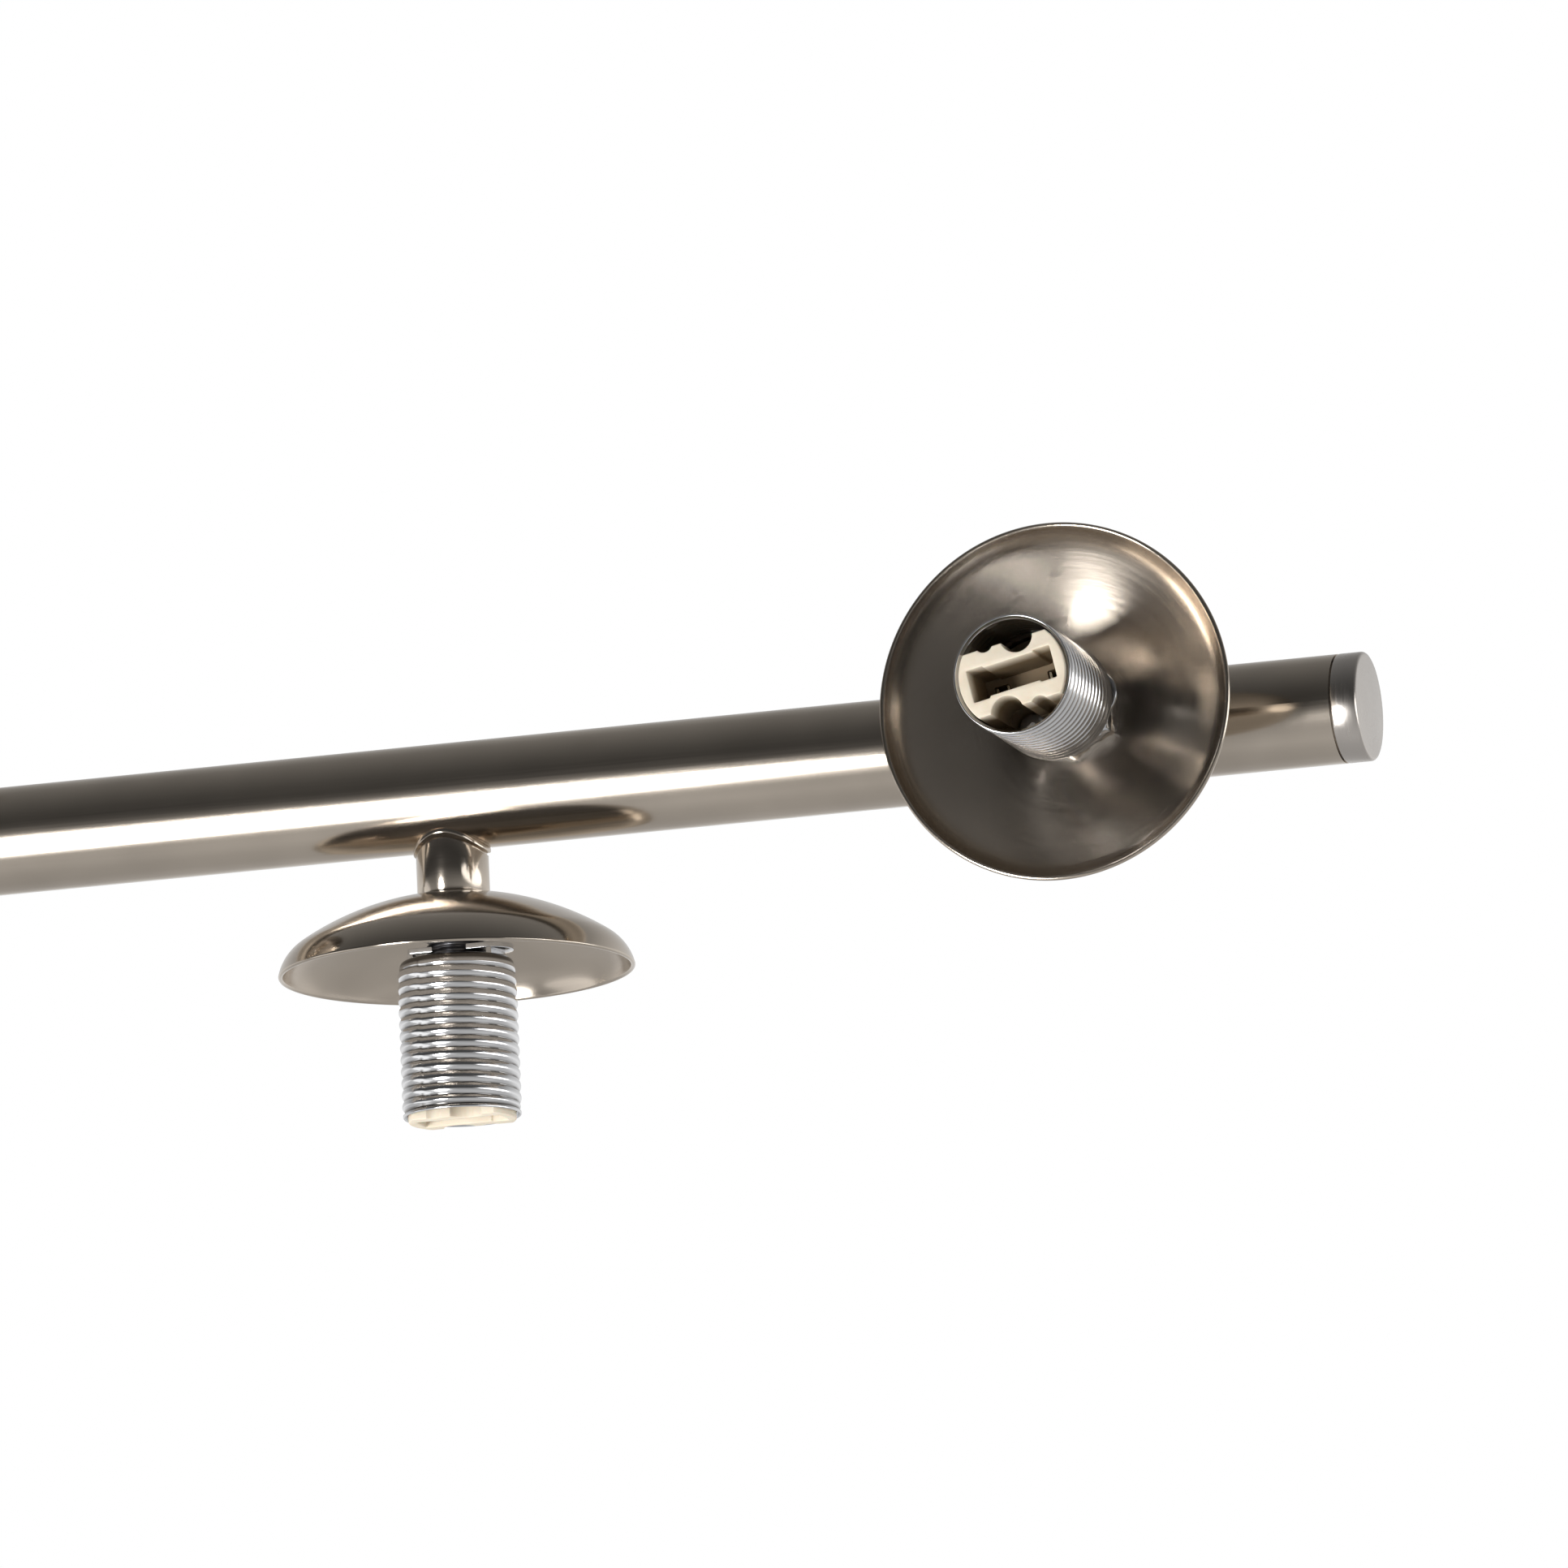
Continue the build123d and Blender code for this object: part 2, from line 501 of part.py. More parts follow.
os.makedirs("parts", exist_ok=True)
bar_axis = Pos(0, 0, -BAR_DROP)
forward = Rot(HEAD_FORWARD, 0, 0)
nodes = {
    "canopy": canopy(),
    "mounting_crossbar": crossbar(),
    "canopy_studs": canopy_studs(),
    "cap_nuts": cap_nuts(),
    "ground_screw": ground_screw(),
    "swivel_bush": swivel_bush(),
    "hub": hub(),
    "hub_screws": hub_screws(),
    "stem_tube": stem_tube(),
    "threaded_nipple": threaded_nipple(),
    "swivel_nut": swivel_nut(),
    "stem_cables": stem_cables(),
    "wire_connectors": wire_connectors(),
}


def add_head(name, x, turn, twist, sleeve_end):
    """Adds one head's pieces at x on the bar, turned about the bar; returns the wires in its bracket."""
    place = bar_axis * Pos(x, 0, 0) * Rot(turn, 0, 0)
    socket = place * Rot(0, 0, twist)
    nodes[name + "_post"] = place * head_post()
    nodes[name + "_dome"] = place * head_dome()
    nodes[name + "_lock_nut"] = place * head_lock_nut()
    nodes[name + "_bracket"] = socket * head_bracket()
    nodes[name + "_thread_sleeve"] = socket * head_sleeve(sleeve_end)
    nodes[name + "_ceramic"] = socket * head_ceramic()
    nodes[name + "_contacts"] = socket * head_contacts()
    nodes[name + "_socket_screws"] = socket * head_screws()
    return [socket * core for core in head_cores()]


def sided(shape, side):
    """The shape itself on the right of the bar, its mirror image on the left."""
    return shape if side > 0 else mirror(shape, Plane.YZ)


for hand, side in (("right", 1), ("left", -1)):
    inner_cores = add_head("inner_" + hand, side * INNER_X, 0, 0, INNER_SLEEVE_END)
    outer_cores = add_head("outer_" + hand, side * OUTER_X, HEAD_FORWARD, side * SLOT_TWIST, OUTER_SLEEVE_END)
    nodes["inner_tube_" + hand] = sided(bar_axis * inner_tube(), side)
    nodes["retaining_screw_" + hand] = sided(bar_axis * retaining_screw(), side)
    inner = [sided(bar_axis * cable, side) for cable in inner_cables()]
    nodes["inner_cables_" + hand] = Compound(inner + inner_cores)
    nodes["outer_tube_" + hand] = sided(bar_axis * forward * outer_tube(), side)
    nodes["swivel_sleeve_" + hand] = sided(bar_axis * swivel_sleeve(), side)
    nodes["end_cap_" + hand] = sided(bar_axis * end_cap(), side)
    outer = sided(bar_axis * forward * outer_cable(), side)
    nodes["outer_cable_" + hand] = Compound([outer] + outer_cores)

for name, shape in nodes.items():
    export_step(shape, f"parts/{name}.step")
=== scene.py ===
import bmesh
import bpy
import json
from math import asin, atan2, cos, degrees, pi, radians, sin, sqrt, tan
from mathutils import Matrix, Vector


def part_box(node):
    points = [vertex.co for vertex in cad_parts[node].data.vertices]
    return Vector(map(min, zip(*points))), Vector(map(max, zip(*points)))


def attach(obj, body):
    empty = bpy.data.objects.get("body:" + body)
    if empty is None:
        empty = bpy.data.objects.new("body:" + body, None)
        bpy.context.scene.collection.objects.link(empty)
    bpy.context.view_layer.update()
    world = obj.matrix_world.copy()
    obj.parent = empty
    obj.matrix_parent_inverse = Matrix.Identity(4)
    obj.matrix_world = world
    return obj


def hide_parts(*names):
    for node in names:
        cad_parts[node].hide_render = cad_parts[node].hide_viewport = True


# A ceiling light: a satin-nickel bar under a round canopy, with four lamp heads. Lengths are in mm
# until a mesh is made, then metres. A head is built pointing down from the bar's axis. Its levels
# are given as h, the distance from that axis, so the height of a level is -h.

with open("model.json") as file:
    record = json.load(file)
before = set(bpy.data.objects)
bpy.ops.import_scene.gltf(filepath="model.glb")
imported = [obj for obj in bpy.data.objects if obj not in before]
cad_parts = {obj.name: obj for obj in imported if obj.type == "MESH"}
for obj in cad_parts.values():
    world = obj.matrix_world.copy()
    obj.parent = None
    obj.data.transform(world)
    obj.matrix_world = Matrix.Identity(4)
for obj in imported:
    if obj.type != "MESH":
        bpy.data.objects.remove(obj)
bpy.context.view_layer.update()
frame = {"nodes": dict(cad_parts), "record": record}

MM = 0.001
BAR_R = 9.1
HEADS = ("inner_right", "inner_left", "outer_right", "outer_left")
SLOT_TWIST = 12.0           # degrees that an outer head's socket is turned on its post

# post, with h at the end of its shaft and of its threaded tail
POST_R = 6.1
POST_END = 17.3
TAIL_R = 5.0
TAIL_END = 28.5
BORE_R = 3.2

# dome, from its flat seat over an arc to its rim
SEAT_R = 7.6
DOME_ARC_R = 48.0
DOME_ARC_DEG = 33.5
DOME_R = 30.0
DOME_RIM = 30.0             # h of the rim
DOME_SHEET = 0.8

# screw collar
SLEEVE_START = {"inner": 28.0, "outer": 28.6}       # h of the shoulder
SLEEVE_R = 10.0             # over the thread's crests
SLEEVE_LEN = 26.5
SLEEVE_SHEET = 0.32
PITCH = 2.0
THREAD_DEPTH = 0.42
SEAM_DEG = -114.0           # where the rolled collar's two edges meet

# ceramic holder and the disc it stands on, with h at each of their levels
CERAMIC_R = 9.05
CERAMIC_FLAT = 5.5          # from the middle to a flat
DISC_BOTTOM = 34.2
FOOT_END = 38.0
SLOT_FLOOR = 44.0
CERAMIC_FACE = 55.3
CHANNEL = (2.25, -5.95, 2.75)       # x, y and radius of a screw's channel; the other is opposite
NOTCH = (-3.35, -6.4, 1.55)         # likewise for the small notch beside it
CONTACT_X = 4.65

# bar's end cap
END_CAP_LEN = 4.4
END_PLUG_LEN = 9.0
END_PLUG_R = 8.05


# ---- meshes ----

def turned(rings, segments=96):
    """Body of revolution about Z from (radius, height) rings, each a number or a function of angle.

    The last ring joins the first. If both lie on the axis, add_piece drops the faces between them.
    """
    def at(value, angle):
        return value(angle) if callable(value) else value
    vertices = []
    for radius, height in rings:
        for k in range(segments):
            angle = 2 * pi * k / segments
            reach = at(radius, angle)
            vertices.append((reach * cos(angle), reach * sin(angle), at(height, angle)))
    faces = []
    for i in range(len(rings)):
        a, b = i * segments, (i + 1) % len(rings) * segments
        faces += [(a + k, a + (k + 1) % segments, b + (k + 1) % segments, b + k)
                  for k in range(segments)]
    return vertices, faces


def eased(outline, steps=4):
    """Closed outline of (x, y, corner radius) points with its corners rounded."""
    most = 0.49             # share of a side that one corner may take up
    points = []
    for i, (x, y, radius) in enumerate(outline):
        corner = Vector((x, y))
        if not radius:
            points.append(tuple(corner))
            continue
        before = Vector(outline[i - 1][:2]) - corner
        after = Vector(outline[(i + 1) % len(outline)][:2]) - corner
        cut = min(radius / tan(before.angle(after) / 2), before.length * most, after.length * most)
        start, end = corner + before.normalized() * cut, corner + after.normalized() * cut
        for k in range(steps + 1):
            t = k / steps
            points.append(tuple(start * (1 - t)**2 + corner * 2 * t * (1 - t) + end * t**2))
    return points


def arc(x, y, radius, start, end, steps=12):
    """Points (x, y, corner radius 0) along an arc; angles in degrees."""
    turns = [radians(start + (end - start) * k / steps) for k in range(steps + 1)]
    return [(x + radius * cos(a), y + radius * sin(a), 0) for a in turns]


def circle(x, y, radius, count=24):
    """Closed outline of a circle with that many points."""
    return arc(x, y, radius, 0, 360 - 360 / count, count - 1)


def box_outline(x0, x1, y0, y1, ease):
    """Rectangle with rounded corners."""
    return eased([(x0, y0, ease), (x1, y0, ease), (x1, y1, ease), (x0, y1, ease)], 3)


def both_ways(half):
    """Outline from its first half and the same half turned by 180 degrees, with eased corners."""
    return eased(half + [(-x, -y, ease) for x, y, ease in half], 3)


def in_pair(x, y, radius):
    """Two circles, opposite each other across the axis."""
    return [circle(side * x, side * y, radius) for side in (-1, 1)]


def together(*solids):
    """Several (vertices, faces) as one."""
    vertices, faces = [], []
    for more_vertices, more_faces in solids:
        faces += [tuple(i + len(vertices) for i in face) for face in more_faces]
        vertices += more_vertices
    return vertices, faces


def shifted(solid, x=0, y=0, z=0):
    return [(a + x, b + y, c + z) for a, b, c in solid[0]], solid[1]


def flipped(solid):
    """Turned over about X."""
    return [(x, -y, -z) for x, y, z in solid[0]], solid[1]


def plate(outlines, low, high, bevel):
    """Flat body between two heights, with eased edges; outlines after the first are holes."""
    curve = bpy.data.curves.new("outline", "CURVE")
    curve.dimensions = "2D"
    curve.fill_mode = "BOTH"
    curve.extrude = (high - low) / 2 - bevel
    curve.bevel_depth = bevel
    curve.bevel_resolution = 2
    curve.offset = -bevel
    for outline in outlines:
        spline = curve.splines.new("POLY")
        spline.points.add(len(outline) - 1)
        for point, place in zip(spline.points, outline):
            point.co = (place[0], place[1], 0, 1)
        spline.use_cyclic_u = True
    carrier = bpy.data.objects.new("outline", curve)
    mesh = bpy.data.meshes.new_from_object(carrier)
    middle = (low + high) / 2
    vertices = [(v.co.x, v.co.y, v.co.z + middle) for v in mesh.vertices]
    faces = [tuple(f.vertices) for f in mesh.polygons]
    bpy.data.objects.remove(carrier)
    bpy.data.curves.remove(curve)
    bpy.data.meshes.remove(mesh)
    return vertices, faces


def add_piece(name, solid, place, sharp=32):
    """New object from a solid in mm; edges that turn by more than sharp degrees stay sharp."""
    same_point = 2e-6       # metres
    mesh = bpy.data.meshes.new(name)
    mesh.from_pydata([Vector(v) * MM for v in solid[0]], [], solid[1])
    work = bmesh.new()
    work.from_mesh(mesh)
    bmesh.ops.remove_doubles(work, verts=work.verts, dist=same_point)
    bmesh.ops.recalc_face_normals(work, faces=work.faces)
    work.to_mesh(mesh)
    work.free()
    mesh.shade_smooth()
    mesh.set_sharp_from_angle(angle=radians(sharp))
    piece = bpy.data.objects.new(name, mesh)
    bpy.context.scene.collection.objects.link(piece)
    piece.matrix_world = place
    return piece


# ---- materials ----

NOISE_LOW, NOISE_HIGH = 0.3, 0.7    # where most of a noise's values lie


def shader(name, **inputs):
    """New material, its tree and its Principled shader, with inputs set on the shader's sockets."""
    material = bpy.data.materials.new(name)
    material.use_nodes = True
    tree = material.node_tree
    principled = tree.nodes["Principled BSDF"]
    for socket, value in inputs.items():
        principled.inputs[socket.replace("_", " ")].default_value = value
    return material, tree, principled


def coordinates(tree, kind="Object"):
    return tree.nodes.new("ShaderNodeTexCoord").outputs[kind]


def split_xyz(tree, vector):
    """The X, Y and Z outputs of a vector, by name."""
    split = tree.nodes.new("ShaderNodeSeparateXYZ")
    tree.links.new(vector, split.inputs[0])
    return split.outputs


def arctangent(tree, up, along):
    turn = tree.nodes.new("ShaderNodeMath")
    turn.operation = "ARCTAN2"
    tree.links.new(up, turn.inputs[0])
    tree.links.new(along, turn.inputs[1])
    return turn.outputs[0]


def map_range(tree, value, start, end, low=0.0, high=1.0):
    """Maps start to end onto low to high."""
    to_range = tree.nodes.new("ShaderNodeMapRange")
    to_range.inputs["From Min"].default_value = start
    to_range.inputs["From Max"].default_value = end
    to_range.inputs["To Min"].default_value = low
    to_range.inputs["To Max"].default_value = high
    tree.links.new(value, to_range.inputs["Value"])
    return to_range.outputs["Result"]


def blend(tree, factor, first, second):
    """Colour from first (factor 0) to second (factor 1); each is an output or a colour."""
    mix = tree.nodes.new("ShaderNodeMix")
    mix.data_type = "RGBA"
    tree.links.new(factor, mix.inputs["Factor"])
    for socket, colour in (("A", first), ("B", second)):
        if isinstance(colour, tuple):
            mix.inputs[socket].default_value = (*colour, 1)
        else:
            tree.links.new(colour, mix.inputs[socket])
    return mix.outputs["Result"]


def texture_noise(tree, scale, detail=3.0, vector=None):
    """Noise over object coordinates, or another vector, stretched by scale (per metre)."""
    mapping = tree.nodes.new("ShaderNodeMapping")
    mapping.inputs["Scale"].default_value = scale
    tree.links.new(vector or coordinates(tree), mapping.inputs["Vector"])
    noise = tree.nodes.new("ShaderNodeTexNoise")
    noise.inputs["Scale"].default_value = 1.0
    noise.inputs["Detail"].default_value = detail
    noise.inputs["Roughness"].default_value = 0.55
    tree.links.new(mapping.outputs["Vector"], noise.inputs["Vector"])
    return noise.outputs["Fac"]


def about_axis(tree):
    """Object coordinates as (distance from Z, height, angle about Z), for marks left by a lathe."""
    place = split_xyz(tree, coordinates(tree))
    flat = tree.nodes.new("ShaderNodeCombineXYZ")
    tree.links.new(place["X"], flat.inputs["X"])
    tree.links.new(place["Y"], flat.inputs["Y"])
    distance = tree.nodes.new("ShaderNodeVectorMath")
    distance.operation = "LENGTH"
    tree.links.new(flat.outputs[0], distance.inputs[0])
    join = tree.nodes.new("ShaderNodeCombineXYZ")
    tree.links.new(distance.outputs["Value"], join.inputs["X"])
    tree.links.new(place["Z"], join.inputs["Y"])
    tree.links.new(arctangent(tree, place["Y"], place["X"]), join.inputs["Z"])
    return join.outputs[0]


def spread(tree, noise, low, high):
    """Maps a noise value onto a range."""
    return map_range(tree, noise, NOISE_LOW, NOISE_HIGH, low, high)


def tint(tree, noise, dark, light):
    """Colour between two tones by a noise value."""
    ramp = tree.nodes.new("ShaderNodeValToRGB")
    low, high = ramp.color_ramp.elements
    low.position, high.position = NOISE_LOW, NOISE_HIGH
    low.color, high.color = (*dark, 1), (*light, 1)
    tree.links.new(noise, ramp.inputs["Fac"])
    return ramp.outputs["Color"]


def bump(tree, principled, value, distance, under=None):
    """Raises the surface by a value over a distance in metres, on top of the bump under it."""
    node = tree.nodes.new("ShaderNodeBump")
    node.inputs["Strength"].default_value = 1.0
    node.inputs["Distance"].default_value = distance
    tree.links.new(value, node.inputs["Height"])
    if under is not None:
        tree.links.new(under, node.inputs["Normal"])
    tree.links.new(node.outputs["Normal"], principled.inputs["Normal"])
    return node.outputs["Normal"]


def brushed(tree, principled, axis, amount, turn):
    """Spreads reflections around an axis (turn 0) or away from it (0.25), as brush marks do."""
    tangent = tree.nodes.new("ShaderNodeTangent")
    tangent.direction_type = "RADIAL"
    tangent.axis = axis
    tree.links.new(tangent.outputs["Tangent"], principled.inputs["Tangent"])
    principled.inputs["Anisotropic"].default_value = amount
    principled.inputs["Anisotropic Rotation"].default_value = turn


def metal(name, colour, roughness, streaks, lathe=False, grain=2e-6, streak_depth=1.5e-6, wear=0.08,
          brush=None):
    """Metal with fine streaks, a satin grain and slightly uneven plating.

    Streaks are scaled along X, Y and Z or, if the lathe made them, as about_axis says. The depths
    of grain and streaks are in metres, and wear is the share by which the colour varies.
    """
    patches, grains, uneven = 55, 5200, 0.15
    material, tree, principled = shader(name, Metallic=1.0)
    if brush:
        brushed(tree, principled, *brush)
    lines = texture_noise(tree, streaks, 4.0, about_axis(tree) if lathe else None)
    dark = tuple(c * (1 - wear) for c in colour)
    light = tuple(min(1, c * (1 + wear)) for c in colour)
    plating = tint(tree, texture_noise(tree, (patches,) * 3, 2.0), dark, light)
    tree.links.new(plating, principled.inputs["Base Color"])
    gloss = spread(tree, lines, roughness * (1 - uneven), roughness * (1 + uneven))
    tree.links.new(gloss, principled.inputs["Roughness"])
    fine = bump(tree, principled, texture_noise(tree, (grains,) * 3, 1.0), grain)
    bump(tree, principled, lines, streak_depth, under=fine)
    return material


def paint_root_shade(material, root_r, crest_r, shade):
    """Painted shade: fades a collar's colour to a dark shade towards its thread's roots."""
    tree = material.node_tree
    colour = tree.nodes["Principled BSDF"].inputs["Base Color"]
    unshaded = colour.links[0].from_socket
    distance = split_xyz(tree, about_axis(tree))["X"]
    height = map_range(tree, distance, root_r * MM, crest_r * MM)
    tree.links.new(blend(tree, height, shade, unshaded), colour)


def ceramic_material():
    """Unglazed steatite: cream, faintly mottled and pitted; painted shade turns it brown in the
    slots.
    """
    shade_start_h, shade_full_h = CERAMIC_FACE - 0.4, CERAMIC_FACE - 4.5
    material, tree, principled = shader("steatite", Roughness=0.55, Specular_IOR_Level=0.4,
                                        Subsurface_Weight=0.12, Subsurface_Scale=0.0012)
    cream = tint(tree, texture_noise(tree, (260,) * 3, 5.0), (0.79, 0.69, 0.54), (0.87, 0.78, 0.64))
    height = split_xyz(tree, coordinates(tree))["Z"]
    # painted shade: the cream fades to brown from just below the face, down into the slots and over
    # the rest of the holder
    depth = map_range(tree, height, -shade_start_h * MM, -shade_full_h * MM)
    tree.links.new(blend(tree, depth, cream, (0.25, 0.18, 0.105)), principled.inputs["Base Color"])
    rough = bump(tree, principled, texture_noise(tree, (900,) * 3, 4.0), 4e-5)
    bump(tree, principled, texture_noise(tree, (3500,) * 3, 2.0), 1.5e-5, under=rough)
    return material


def plastic_material(name, dark, light, roughness, weave=None):
    """Moulded plastic, or woven sleeving if weave gives the scale of its bands."""
    patches, grains, uneven = 210, 700, 0.2
    material, tree, principled = shader(name, Specular_IOR_Level=0.45)
    mottle = texture_noise(tree, (patches,) * 3, 4.0)
    tree.links.new(tint(tree, mottle, dark, light), principled.inputs["Base Color"])
    gloss = spread(tree, mottle, roughness * (1 - uneven), roughness * (1 + uneven))
    tree.links.new(gloss, principled.inputs["Roughness"])
    under = None
    if weave:
        wave = tree.nodes.new("ShaderNodeTexWave")
        wave.inputs["Scale"].default_value = weave
        wave.inputs["Distortion"].default_value = 2.0
        tree.links.new(coordinates(tree), wave.inputs["Vector"])
        under = bump(tree, principled, wave.outputs["Fac"], 1.2e-4)
    bump(tree, principled, texture_noise(tree, (grains,) * 3, 3.0), 1e-5, under=under)
    return material


NICKEL = (0.60, 0.53, 0.45)
TURNING = (2600, 2600, 2.5)         # lathe marks across, along and around a turned piece
SPECKS = (1500, 1500, 1500)
materials = {
    "bar": metal("satin_nickel_bar", NICKEL, 0.15, (18, 3800, 3800), brush=("X", 0.55, 0.0)),
    "spun": metal("satin_nickel_spun", NICKEL, 0.14, TURNING, lathe=True, brush=("Z", 0.4, 0.25)),
    "dish": metal("satin_nickel_dish", NICKEL, 0.2, TURNING, lathe=True, grain=4e-6,
                  brush=("Z", 0.8, 0.25)),
    "cap": metal("satin_nickel_cap", (0.6, 0.56, 0.52), 0.24, TURNING, lathe=True),
    "chrome": metal("bright_chrome", (0.87, 0.87, 0.88), 0.11, (400, 2500, 3), lathe=True,
                    grain=4e-7, streak_depth=1e-6, wear=0.03, brush=("Z", 0.93, 0.0)),
    "zinc": metal("zinc_plate", (0.8, 0.81, 0.83), 0.18, (900, 900, 900), wear=0.06),
    "dark_steel": metal("blackened_steel", (0.2, 0.2, 0.21), 0.34, SPECKS),
    "brass": metal("turned_brass", (0.76, 0.6, 0.32), 0.2, TURNING, lathe=True),
    "contact": metal("contact_strip", (0.62, 0.56, 0.42), 0.25, (1800, 1800, 1800)),
    "ceramic": ceramic_material(),
    "cable": plastic_material("glass_sleeving", (0.72, 0.7, 0.64), (0.86, 0.85, 0.8), 0.6,
                              weave=900),
    "nylon": plastic_material("natural_nylon", (0.8, 0.79, 0.74), (0.88, 0.87, 0.83), 0.4),
    "connector": plastic_material("connector_shell", (0.74, 0.72, 0.64), (0.82, 0.8, 0.73), 0.3),
    "green": metal("green_passivated", (0.1, 0.42, 0.2), 0.3, SPECKS),
}
# painted shade in the thread roots of the chrome collar
paint_root_shade(materials["chrome"], SLEEVE_R - THREAD_DEPTH, SLEEVE_R - THREAD_DEPTH * 0.5,
             (0.16, 0.145, 0.13))


def paint(piece, look):
    """Gives a piece one of the materials."""
    if not piece.data.materials:
        piece.data.materials.append(materials[look])
    for place in piece.material_slots:
        place.material = materials[look]


def fit_piece(piece, body, slot_name, look, *nodes):
    """A new piece rides on its body and stands for its CAD nodes."""
    paint(piece, look)
    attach(piece, body)
    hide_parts(*nodes)
    return piece


def second_look(piece, look, chosen):
    """Gives some of a piece's faces another material."""
    piece.data.materials.append(materials[look])
    for face in piece.data.polygons:
        if chosen(face):
            face.material_index = 1


# ---- lamp heads ----

def post_solid():
    """Turned post: saddle top with a brazed lip, bevelled shoulder, threaded tail, through bore."""
    def saddle(radius, below):
        """Height at a radius from the post's axis, where it is that far below the bar's surface."""
        return lambda angle: -(sqrt(BAR_R**2 - (radius * sin(angle))**2) + below)
    lip_r, groove_r = POST_R + 0.42, POST_R - 0.22
    # radius, radius its saddle follows, distance below the bar's surface
    crown = [(BORE_R, BORE_R, 0), (lip_r - 0.15, lip_r - 0.15, 0), (lip_r - 0.04, lip_r, 0.1),
             (lip_r, lip_r, 0.25), (lip_r, lip_r, 0.65), (lip_r - 0.04, lip_r, 0.8),
             (lip_r - 0.15, lip_r, 0.9), (groove_r, groove_r, 0.95), (groove_r, groove_r, 1.25),
             (POST_R - 0.05, POST_R, 1.32), (POST_R, POST_R, 1.45)]
    rings = [(radius, saddle(follows, below)) for radius, follows, below in crown]
    bevel = [(0, 0.5), (0.08, 0.36), (0.36, 0.08), (0.5, 0)]        # inset, rise
    rings += [(POST_R - inset, -POST_END + rise) for inset, rise in bevel]
    neck_r, thread_top = TAIL_R - 0.25, -POST_END - 3.8
    rings += [(neck_r, -POST_END), (neck_r, thread_top)]
    pitch, depth, steps = 1.0, 0.5, 8

    def thread(turns):
        return lambda angle: TAIL_R - depth * abs(sin(pi * (turns + angle / (2 * pi))))
    for k in range(int((TAIL_END - 0.4 + thread_top) / pitch * steps)):
        rings.append((thread(k / steps), thread_top - k * pitch / steps))
    end_r, chamfer = TAIL_R - depth, 0.3
    rings += [(end_r, -TAIL_END + chamfer), (end_r - chamfer, -TAIL_END), (BORE_R, -TAIL_END)]
    return turned(rings)


def dome_solid():
    """Spun dome: flat seat, shallow curve, tighter roll to the rim and a rounded edge."""
    slope = radians(DOME_ARC_DEG)
    centre_h = POST_END - (DOME_ARC_R - sqrt(DOME_ARC_R**2 - SEAT_R**2)) + DOME_ARC_R
    joint_r, joint_h = DOME_ARC_R * sin(slope), centre_h - DOME_ARC_R * cos(slope)
    run, fall = DOME_R - joint_r, DOME_RIM - joint_h
    roll_r = (run**2 + fall**2) / (2 * (fall * cos(slope) - run * sin(slope)))
    roll_x, roll_h = joint_r - roll_r * sin(slope), joint_h + roll_r * cos(slope)
    end = atan2(DOME_R - roll_x, roll_h - DOME_RIM)
    arc_steps, roll_steps, rim_steps, rim_round = 24, 12, 6, 0.9

    def side(offset):
        """Points (radius, h) from hole to rim, that far inside the outer face."""
        radius = DOME_ARC_R - offset
        first = asin(SEAT_R / radius)
        points = [(TAIL_R + 0.2, POST_END + offset), (SEAT_R - 0.5, POST_END + offset)]
        for k in range(1, arc_steps + 1):
            angle = first + (slope - first) * k / arc_steps
            points.append((radius * sin(angle), centre_h - radius * cos(angle)))
        radius = roll_r - offset
        for k in range(1, roll_steps + 1):
            angle = slope + (end - slope) * k / roll_steps
            points.append((roll_x + radius * sin(angle), roll_h - radius * cos(angle)))
        return points
    outside, inside = side(0), side(DOME_SHEET)
    middle = Vector([(a + b) / 2 for a, b in zip(outside[-1], inside[-1])])
    across = Vector(outside[-1]) - middle
    along = Vector((-across.y, across.x))
    rim = []
    for k in range(rim_steps + 1):
        angle = pi * k / rim_steps
        rim.append(tuple(middle + across * cos(angle) + along * (sin(angle) - 1) * rim_round))
    return turned([(r, -h) for r, h in outside[:-1] + rim + inside[-2::-1]], 192)


def hexagon(across_flats):
    """Radius of a hexagon's outline as a function of the angle."""
    return lambda angle: across_flats / 2 / cos((angle + pi / 6) % (pi / 3) - pi / 6)


def nut_solid(across_flats, hole_r, low, high):
    """Hexagon nut with chamfered corners and hole."""
    flats = hexagon(across_flats)
    face_r, corner_r, ease = across_flats / 2 * 0.98, across_flats / 2 * 1.06, 0.4

    def chamfered(angle):
        return min(flats(angle), corner_r)
    return turned([(hole_r + ease, high), (face_r, high), (chamfered, high - 0.35),
                   (flats, high - 0.8), (flats, low + 0.8), (chamfered, low + 0.35), (face_r, low),
                   (hole_r + ease, low), (hole_r, low + ease), (hole_r, high - ease)])


